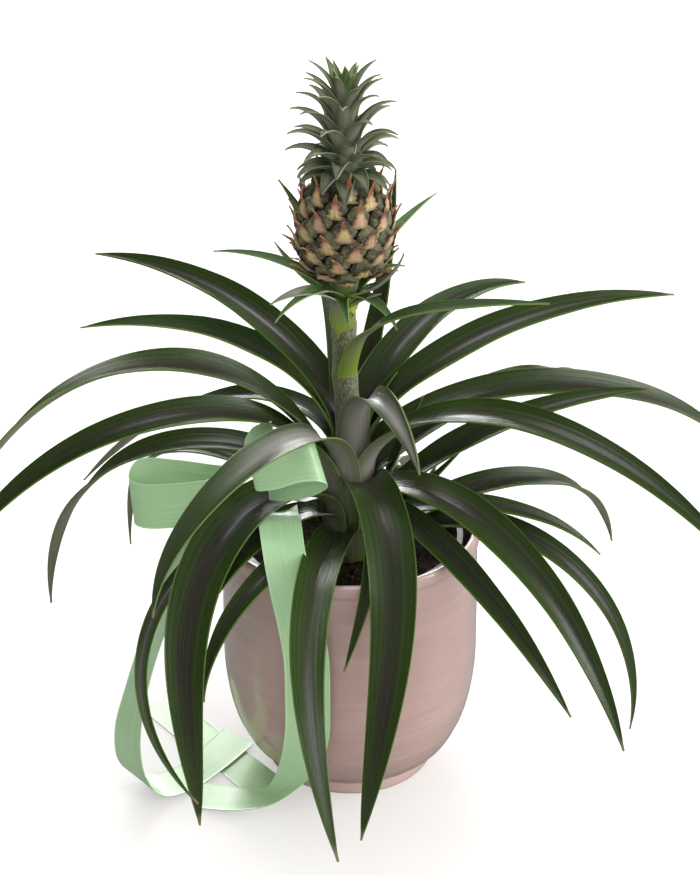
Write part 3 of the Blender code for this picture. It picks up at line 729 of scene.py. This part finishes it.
pale_bract = blade_finish("pale_bract", 0.5, 0.0006, {
    "Margin": (0.14, 0.17, 0.10, 1), "Band": (0.25, 0.25, 0.22, 1), "Edge": (0.34, 0.36, 0.26, 1),
    "Base": (0.30, 0.42, 0.02, 1), "Base length": 0.45, "Vein contrast": 0.4, "Band width": 0.9,
})
green_bract = blade_finish("green_bract", 0.4, 0.0006, {
    "Margin": (0.045, 0.12, 0.02, 1), "Band": (0.07, 0.13, 0.035, 1), "Edge": (0.30, 0.38, 0.16, 1),
    "Base": (0.20, 0.32, 0.03, 1), "Base length": 0.3, "Vein contrast": 0.4, "Band width": 0.5,
})
for bract_name, values in BRACTS.items():
    bearing, height, rise, fall, bend, length, sweep, width = values
    root, start = stem_seat(bearing, height, LEAF_SEAT)
    course = blade_course(start, bearing, rise, fall, bend, length * MM, sweep, BRACT_SHEATH * MM)

    def bract_breadth(along):
        clasping = 1.35 - 0.35 * smooth(along / 0.2)
        foot = math.sqrt(max(1 - (min(along, 0) / BRACT_FOOT) ** 2, 0))
        taper = (1 - max(along, 0) ** 1.7) ** 0.9
        return max(width * clasping * foot * taper, BRACT_TIP_WIDTH) * MM

    def bract_section(along, side, heading):
        hug = min(0.65 * width / (root + 1), 1.5)
        fold = math.radians(BRACT_FOLD)
        free_lift = math.sin(fold) * abs(side) ** 1.4
        reach, lift = open_out(along, side, hug, side * math.cos(fold), free_lift)
        return reach, lift, tip_over(along, heading)

    first = pale_bract if bract_name in PALE_BRACTS else green_bract
    blade = grow_blade(
        bract_name.replace("bract", "stalk_bract"), course, bract_breadth,
        bract_section, 28, 8, BRACT_THICKNESS * MM, (first, pale_bract),
    )
    finish_piece(blade, [bract_name])

# Slips: a side bract and the small green buds that sit on the stalk under the fruit.
# They are soft young growth, brighter than anything else on the plant, and grow as one cluster.
SLIP_SEAT = 0.6
SLIP_SHEATH = 3
SLIPS = (
    (318, 300, 25, -62, 0.8, 34, 8, 8, "green"), (340, 294, 70, 35, 1, 13, 0, 8, "bud"),
    (310, 293, 75, 50, 1, 11, 0, 8, "bud"), (4, 296, 60, 20, 1, 14, 0, 7, "bud"),
    (35, 300, 45, 65, 1, 16, 0, 7, "bud"), (200, 297, 50, 25, 1, 14, 0, 7, "bud"),
)
bud_skin = blade_finish("bud_skin", 0.45, 0.0005, {
    "Margin": (0.10, 0.22, 0.02, 1), "Band": (0.17, 0.28, 0.04, 1), "Edge": (0.35, 0.45, 0.12, 1),
    "Base": (0.36, 0.50, 0.05, 1), "Base length": 0.5, "Vein contrast": 0.3, "Band width": 0.7,
})


def gather(name, parts):
    """Joins like parts in one piece."""
    bpy.ops.object.select_all(action="DESELECT")
    for part in parts:
        part.select_set(True)
    bpy.context.view_layer.objects.active = parts[0]
    bpy.ops.object.join()
    joined = bpy.context.object
    joined.name = name
    bpy.ops.object.shade_smooth_by_angle(angle=math.radians(60))
    return joined


slip_parts = []
for bearing, height, rise, fall, bend, length, sweep, width, kind in SLIPS:
    root, start = stem_seat(bearing, height, SLIP_SEAT)
    course = blade_course(start, bearing, rise, fall, bend, length * MM, sweep, SLIP_SHEATH * MM)
    finishes = (green_bract, pale_bract) if kind == "green" else (bud_skin, bud_skin)
    slip_parts.append(grow_blade(
        "slip", course, bract_breadth, bract_section, 24, 6, BRACT_THICKNESS * MM, finishes,
    ))
slips = gather("fruit_slips", slip_parts)
finish_piece(slips)

# Fruit: a barrel of small berries grown together in crossing spirals, each a wrinkled grey-green eye.
# A dry tan bract lies on the lower half of each eye and ends in a curled red-brown spine.
FRUIT_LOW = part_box("fruit")[0].z + 8 * MM
FRUIT_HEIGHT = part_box("fruit")[1].z - 0.5 * MM - FRUIT_LOW
FRUIT_RADIUS = 23.6 * MM
WIDEST_SHARE = 0.42
FLESH_STEPS = 18
BERRIES = 58
GOLDEN_TURN = math.radians(137.508)
EYE_SIZE, EYE_SHRINK = 6.7, 1.3
EYE_DOME, EYE_DIMPLE = 3.3, 1.3
HUSK_LIES = 0.5
HUSK_THICKNESS = 0.35


def fruit_radius(share):
    """The barrel's radius at a share of its height."""
    if share < WIDEST_SHARE:
        return FRUIT_RADIUS * (1 - 0.36 * (1 - share / WIDEST_SHARE) ** 2.6)
    return FRUIT_RADIUS * (1 - 0.40 * ((share - WIDEST_SHARE) / (1 - WIDEST_SHARE)) ** 2.4)


def fruit_slope(share):
    """How fast the barrel widens with height at a share of its height."""
    wider = fruit_radius(min(share + 0.02, 1)) - fruit_radius(max(share - 0.02, 0))
    return wider / (0.04 * FRUIT_HEIGHT)


def swell_eye(seat, size, index):
    """One berry's eye: a squarish wrinkled dome with a dimple in its middle."""
    middle, sideways, up, outward = seat
    bpy.ops.object.select_all(action="DESELECT")
    bpy.ops.mesh.primitive_uv_sphere_add(segments=16, ring_count=9, radius=1)
    eye = bpy.context.object
    for vert in eye.data.vertices:
        spread = Vector((vert.co.x, vert.co.y)).length
        around = math.atan2(vert.co.y, vert.co.x)
        square = 1 + 0.08 * math.cos(4 * around)
        wrinkle = 1 + 0.09 * math.sin(9 * around + 2 * index) * spread
        dimple = EYE_DIMPLE * max(0, 1 - 2.4 * spread) * (vert.co.z > 0)
        dome = (EYE_DOME * vert.co.z * wrinkle - dimple) * MM
        vert.co = middle + size * square * (vert.co.x * sideways + vert.co.y * up * 0.92) + dome * outward
    return eye


def dry_husk(seat, size, index, spine, sway, flare, breadth, crumple):
    """One eye's dry bract: it lies over the eye's lower half, then stands off and narrows to a spine."""
    middle, sideways, up, outward = seat
    bpy.ops.object.select_all(action="DESELECT")
    bpy.ops.mesh.primitive_grid_add(x_subdivisions=18, y_subdivisions=8, size=2, calc_uvs=True)
    husk = bpy.context.object
    for vert in husk.data.vertices:
        along = (vert.co.x + 1) / 2
        side = vert.co.y
        free = max(0, along - HUSK_LIES)
        if along < HUSK_LIES:
            local = along / HUSK_LIES
            climb = size * (-1.0 + 1.1 * local)
            stand = 1.2 * MM + 3.2 * MM * math.sin(local * math.pi / 2 * 0.95)
            half = size * breadth * (1.04 - 0.62 * local**1.4)
        else:
            local = free / (1 - HUSK_LIES)
            climb = size * 0.1 + spine * (0.62 * local + 0.12 * local**2)
            stand = 4.4 * MM + spine * flare * (0.25 * local + 0.45 * local**2)
            half = size * breadth * 0.42 * (1 - local) ** 1.15 + 0.3 * MM
        flute = 0.4 * MM * crumple * math.sin(side * 9 + index + 3 * along) * (1 - 0.5 * along)
        ragged = 1 + 0.16 * crumple * math.sin(along * 27 + index + side)
        dip = -1.1 * MM * side**2 * (1 - along) + flute
        curl_in = 1.6 * MM * abs(side) * free
        drift = sway * spine * (free * 1.1 - crumple * 0.12 * math.sin(6 * free))
        across = half * side * ragged + drift
        vert.co = middle + across * sideways + climb * up + (stand + dip + curl_in) * outward
    thicken(husk, HUSK_THICKNESS * MM)
    return husk


outline = [(6 * MM, FRUIT_LOW + 0.5 * MM)]
for step in range(FLESH_STEPS + 1):
    share = step / FLESH_STEPS
    height = FRUIT_LOW + 1.5 * MM + share * (FRUIT_HEIGHT - 3 * MM)
    outline.append((fruit_radius(share) - 1.4 * MM, height))
core = throw("fruit_flesh", outline, 48)
for vert in core.data.vertices:
    vert.co.x += lean(vert.co.z)

random.seed(11)
eye_parts, husk_parts = [], []
for index in range(BERRIES):
    share = 0.035 + 0.945 * (index + 0.5) / BERRIES
    turn = index * GOLDEN_TURN
    level = FRUIT_LOW + share * FRUIT_HEIGHT
    radius = fruit_radius(share)
    outward = Vector((math.cos(turn), math.sin(turn), -fruit_slope(share))).normalized()
    sideways = Vector((-math.sin(turn), math.cos(turn), 0))
    middle = Vector((radius * math.cos(turn) + lean(level), radius * math.sin(turn), level))
    seat = (middle, sideways, outward.cross(sideways), outward)
    size = (EYE_SIZE - EYE_SHRINK * abs(2 * share - 0.9) ** 2) * MM
    eye_parts.append(swell_eye(seat, size, index))
    spine = (random.uniform(5.5, 10) if share < 0.7 else random.uniform(8, 12.5)) * MM
    sway = random.uniform(-0.6, 0.6)
    flare = random.uniform(0.3, 1.15)
    breadth = random.uniform(0.72, 1.0)
    crumple = random.uniform(0.5, 1.6)
    husk_parts.append(dry_husk(seat, size, index, spine, sway, flare, breadth, crumple))
eyes = gather("fruit_eyes", eye_parts)
husks = gather("fruit_bracts", husk_parts)

flesh, tree, shader = principled("fruit_flesh", roughness=0.7)
place = own_place(tree)
shade = blend_colours(tree, mottle(tree, place, 300, 3), (0.02, 0.022, 0.006, 1), (0.07, 0.075, 0.015, 1))
paint(tree, shader, shade)
core.data.materials.append(flesh)

eye_skin, tree, shader = principled("eye_skin", roughness=0.6)
place = own_place(tree)
patch = mottle(tree, place, 150, 4)
scurf = mottle(tree, place, 1100, 3)
shade = blend_colours(tree, ease(tree, patch, 0.38, 0.66), (0.05, 0.045, 0.016, 1), (0.17, 0.175, 0.085, 1))
shade = blend_colours(tree, ease(tree, scurf, 0.5, 0.66, 0, 0.5), shade, (0.30, 0.27, 0.19, 1))
paint(tree, shader, shade)
roughen(tree, shader, 0.7, 0.0007, scurf)
eyes.data.materials.append(eye_skin)

husk_skin, tree, shader = principled("dry_bract", roughness=0.6, sheen_weight=0.1)
spread = node(tree, "ShaderNodeUVMap", uv_map="UVMap").outputs[0]
axes = node(tree, "ShaderNodeSeparateXYZ", {0: spread})
lined = stretch(tree, spread, (1.5, 16, 1))
fibre = mottle(tree, lined, 1, 3)
place = own_place(tree)
cloud = mottle(tree, place, 150, 3)
tan = blend_colours(tree, ease(tree, cloud, 0.36, 0.64), (0.46, 0.25, 0.16, 1), (0.56, 0.45, 0.12, 1))
tan = blend_colours(tree, ease(tree, fibre, 0.4, 0.65, 0, 0.6), tan, (0.66, 0.48, 0.36, 1))
side_edge = off_middle(tree, axes.outputs["Y"])
tan = blend_colours(tree, ease(tree, side_edge, 0.4, 0.92, 0, 0.75), tan, (0.16, 0.085, 0.04, 1))
along = axes.outputs["X"]
tan = blend_colours(tree, ease(tree, along, 0.16, 0.0, 0, 0.75), tan, (0.13, 0.12, 0.06, 1))
tan = blend_colours(tree, ease(tree, along, 0.45, 0.72), tan, (0.33, 0.12, 0.055, 1))
tan = blend_colours(tree, ease(tree, along, 0.72, 0.95, 0, 0.6), tan, (0.50, 0.27, 0.14, 1))
paint(tree, shader, tan)
roughen(tree, shader, 0.6, 0.0006, fibre)
husks.data.materials.append(husk_skin)

finish_piece(core, ["fruit"])
finish_piece(eyes)
finish_piece(husks)

# Crown: the tuft of short scurfy leaves on the fruit, broad at the foot and curled back at the tip.
# The lowest curl down over the fruit and the topmost stand up, bright green.
CROWN_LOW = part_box("crown")[0].z
CROWN_CORE_OUTLINE = ((6, 0.2), (10.5, 1), (9, 20), (6, 40), (2.5, 50), (0.5, 52))
CROWN_LEAVES = 58
CROWN_FOLD = 34
CROWN_SHEATH = 2
CROWN_THICKNESS = 0.7
crown_outer = blade_finish("crown_leaf_outer", 0.55, 0.0005, {
    "Margin": (0.11, 0.15, 0.065, 1), "Band": (0.32, 0.32, 0.25, 1), "Edge": (0.26, 0.24, 0.18, 1),
    "Base": (0.04, 0.09, 0.02, 1), "Base length": 0.35, "Vein contrast": 0.6, "Band width": 0.95,
})
crown_inner = blade_finish("crown_leaf_inner", 0.5, 0.0005, {
    "Margin": (0.08, 0.125, 0.045, 1), "Band": (0.22, 0.23, 0.155, 1), "Edge": (0.26, 0.24, 0.17, 1),
    "Base": (0.05, 0.10, 0.025, 1), "Base length": 0.3, "Vein contrast": 0.4, "Band width": 0.9,
})
crown_young = blade_finish("crown_leaf_young", 0.45, 0.0005, {
    "Margin": (0.075, 0.15, 0.025, 1), "Band": (0.12, 0.17, 0.07, 1), "Edge": (0.34, 0.36, 0.2, 1),
    "Base": (0.16, 0.26, 0.04, 1), "Base length": 0.3, "Vein contrast": 0.4, "Band width": 0.6,
})
outline = [(radius * MM, CROWN_LOW + height * MM) for radius, height in CROWN_CORE_OUTLINE]
core = throw("crown_core", outline, 24)
for vert in core.data.vertices:
    vert.co.x += lean(vert.co.z)
core.data.materials.append(crown_inner)
finish_piece(core, ["crown"])

random.seed(23)
crown_parts = []
for index in range(CROWN_LEAVES):
    share = index / (CROWN_LEAVES - 1)
    turn = index * GOLDEN_TURN + random.uniform(-0.08, 0.08)
    bearing = math.degrees(turn) % 360
    height = CROWN_LOW + (0.5 + 37 * share**1.1) * MM
    seat = (9.5 - 6.8 * share**1.2) * MM
    top = share > 0.9
    rise = 14 + 72 * smooth(share * 1.3) + random.uniform(-3, 3)
    fall = (72 if top else -62 + 98 * share) + random.uniform(-7, 7)
    bend = 1.2 + 0.5 * smooth(share * 2)
    length = (18 + 18 * smooth(share * 1.35) - (9 if top else 0) + random.uniform(-1.5, 1.5)) * MM
    width = (13.5 if top else 13 - 2.0 * share**2) * MM
    start = (seat * math.cos(turn) + lean(height), seat * math.sin(turn), height)
    course = blade_course(start, bearing, rise, fall, bend, length, 0, CROWN_SHEATH * MM)

    def crown_breadth(along):
        along = max(along, 0)
        return max(width * (0.78 + 0.22 * smooth(along / 0.3)) * (1 - along**1.45) ** 0.85, 0.5 * MM)

    def crown_section(along, side, heading):
        fold = math.radians(CROWN_FOLD)
        return side * math.cos(fold * 0.8), math.sin(fold) * abs(side) ** 1.7 * (1 - 0.4 * along), 0.0

    finishes = (crown_young, crown_young) if top else (crown_inner, crown_outer)
    crown_parts.append(grow_blade(
        "crown_leaf", course, crown_breadth, crown_section, 18, 6, CROWN_THICKNESS * MM, finishes,
    ))
crown_tuft = gather("crown_tuft", crown_parts)
finish_piece(crown_tuft)

# Ribbon: mint satin, 25 mm wide, in two loops among the leaves on the left, with no knot between them.
# Two tails hang from there to the surface that the pot stands on, where an end lies under them.
RIBBON_WIDTH = 25 * MM
RIBBON_THICKNESS = 0.45 * MM
RIBBON_COLUMNS = 8
ROWS_PER_STRETCH = 10
# Stations along each strip: the place of its middle and the way its width points, in mm
RIBBON = {
    "ribbon_loop_left": [
        (-61, -20, 185, 0, 0.25, 0.95),
        (-78, -27, 184.5, 0, 0.32, 0.95),
        (-98, -29, 183, 0, 0.35, 0.93),
        (-115, -26, 181, -0.05, 0.35, 0.93),
        (-122.5, -18, 181, -0.12, 0.35, 0.93),
        (-116, -9, 188, -0.2, 0.35, 0.92),
        (-98, -4, 184.5, 0, 0.35, 0.93),
        (-76, -1, 179.5, 0, 0.35, 0.93),
        (-61, -4, 180, 0, 0.3, 0.95),
    ],
    "ribbon_loop_upper": [
        (-40, -34, 225, -0.25, 0.5, 0.85),
        (-50, -38, 223, -0.25, 0.5, 0.85),
        (-54, -47, 217, -0.25, 0.5, 0.85),
        (-43, -50, 219, -0.28, 0.5, 0.85),
        (-31, -50, 223, -0.3, 0.5, 0.85),
        (-20, -49, 223, -0.3, 0.5, 0.85),
        (-16, -43, 216, -0.3, 0.5, 0.85),
        (-25, -37, 207, -0.25, 0.5, 0.85),
        (-37, -30, 201, -0.1, 0.5, 0.85),
        (-46, -22, 197, -0.1, 0.5, 0.85),
    ],
    "ribbon_tail_front": [
        (-42, -11, 177.5, 1, -0.3, 0),
        (-41, -25, 178.5, 1, -0.25, 0),
        (-39, -40, 180.5, 1, -0.2, -0.1),
        (-37, -56, 176, 1, -0.2, -0.15),
        (-34, -70, 166, 1, -0.15, -0.1),
        (-30.5, -78, 152, 1, -0.15, 0),
        (-27, -81, 136, 1, -0.1, 0),
        (-24, -80.5, 115, 1, 0, 0),
        (-23.5, -81, 90, 1, 0, 0),
        (-24, -80, 65, 1, 0, 0),
        (-28, -78, 44, 1, -0.2, 0.2),
        (-37, -74, 25, 0.8, -0.5, 0.4),
        (-51, -67, 11.5, 0.4, -0.9, 0.2),
        (-68, -58, 3.7, 0.1, -1, 0.05),
        (-87, -52, 1.4, 0, -1, 0),
    ],
    "ribbon_tail_left": [
        (-60, 5, 170, 0.5, -0.8, 0.2),
        (-75, -2, 162, 0.6, -0.75, 0.2),
        (-90, -11, 142, 0.5, -0.85, 0.15),
        (-103, -21, 121, 0.45, -0.9, 0.1),
        (-115, -33, 93, 0.45, -0.9, 0.1),
        (-124, -42, 64, 0.5, -0.85, 0.05),
        (-129, -46, 38, 0.65, -0.75, 0),
        (-127, -47, 16, 0.7, -0.7, 0),
        (-116, -46, 4, 0.55, -0.8, 0),
        (-98, -36, 1.8, 0.5, -0.85, 0),
        (-82, -16, 2.1, 0.65, -0.75, 0),
        (-68, 6, 2.1, 0.8, -0.6, 0),
    ],
    "ribbon_end_floor": [
        (-122, 46, 0.8, 0.5, 0.85, 0),
        (-105, 25, 0.8, 0.6, 0.8, 0),
        (-88, 3, 0.8, 0.6, 0.8, 0),
        (-71, -17, 0.8, 0.6, 0.8, 0),
        (-54, -38, 0.8, 0.7, 0.7, 0),
        (-41, -53, 0.8, 0.75, 0.66, 0),
    ],
}

satin, tree, shader = principled(
    "mint_satin", roughness=0.26, sheen_weight=0.3, sheen_roughness=0.4, anisotropic=0.4,
)
spread = node(tree, "ShaderNodeUVMap", uv_map="UVMap").outputs[0]
axes = node(tree, "ShaderNodeSeparateXYZ", {0: spread})
edge = off_middle(tree, axes.outputs["Y"])
lengthwise = stretch(tree, spread, (3, 90, 1))
warp = mottle(tree, lengthwise, 1, 3)
place = own_place(tree)
cloud = mottle(tree, place, 30, 2)
mint = blend_colours(tree, ease(tree, warp, 0.35, 0.65), (0.34, 0.55, 0.285, 1), (0.42, 0.65, 0.36, 1))
mint = blend_colours(tree, ease(tree, cloud, 0.4, 0.7, 0, 0.35), mint, (0.48, 0.71, 0.43, 1))
mint = blend_colours(tree, ease(tree, edge, 0.93, 0.97, 0, 0.6), mint, (0.50, 0.74, 0.46, 1))
paint(tree, shader, mint)
weave = math_node(tree, "ADD", warp, ease(tree, edge, 0.9, 0.96, 0, 1.5))
roughen(tree, shader, 0.25, 0.0003, weave)

for strip_name, strip in RIBBON.items():
    middles = [Vector(station[:3]) * MM for station in strip]
    widths = [Vector(station[3:]).normalized() for station in strip]
    rows = ROWS_PER_STRETCH * (len(strip) - 1)
    bpy.ops.object.select_all(action="DESELECT")
    bpy.ops.mesh.primitive_grid_add(x_subdivisions=rows, y_subdivisions=RIBBON_COLUMNS, size=2, calc_uvs=True)
    ribbon = bpy.context.object
    ribbon.name = strip_name.replace("ribbon", "satin")
    for vert in ribbon.data.vertices:
        share = (vert.co.x + 1) / 2
        across = curve_point(widths, share).normalized()
        vert.co = curve_point(middles, share) + vert.co.y * RIBBON_WIDTH / 2 * across
    course = [curve_point(middles, step / rows) for step in range(rows + 1)]
    length = sum((later - sooner).length for sooner, later in zip(course, course[1:]))
    thicken(ribbon, RIBBON_THICKNESS)
    bpy.ops.object.shade_smooth_by_angle(angle=math.radians(60))
    ribbon.data.materials.append(satin)
    finish_piece(ribbon, [strip_name])
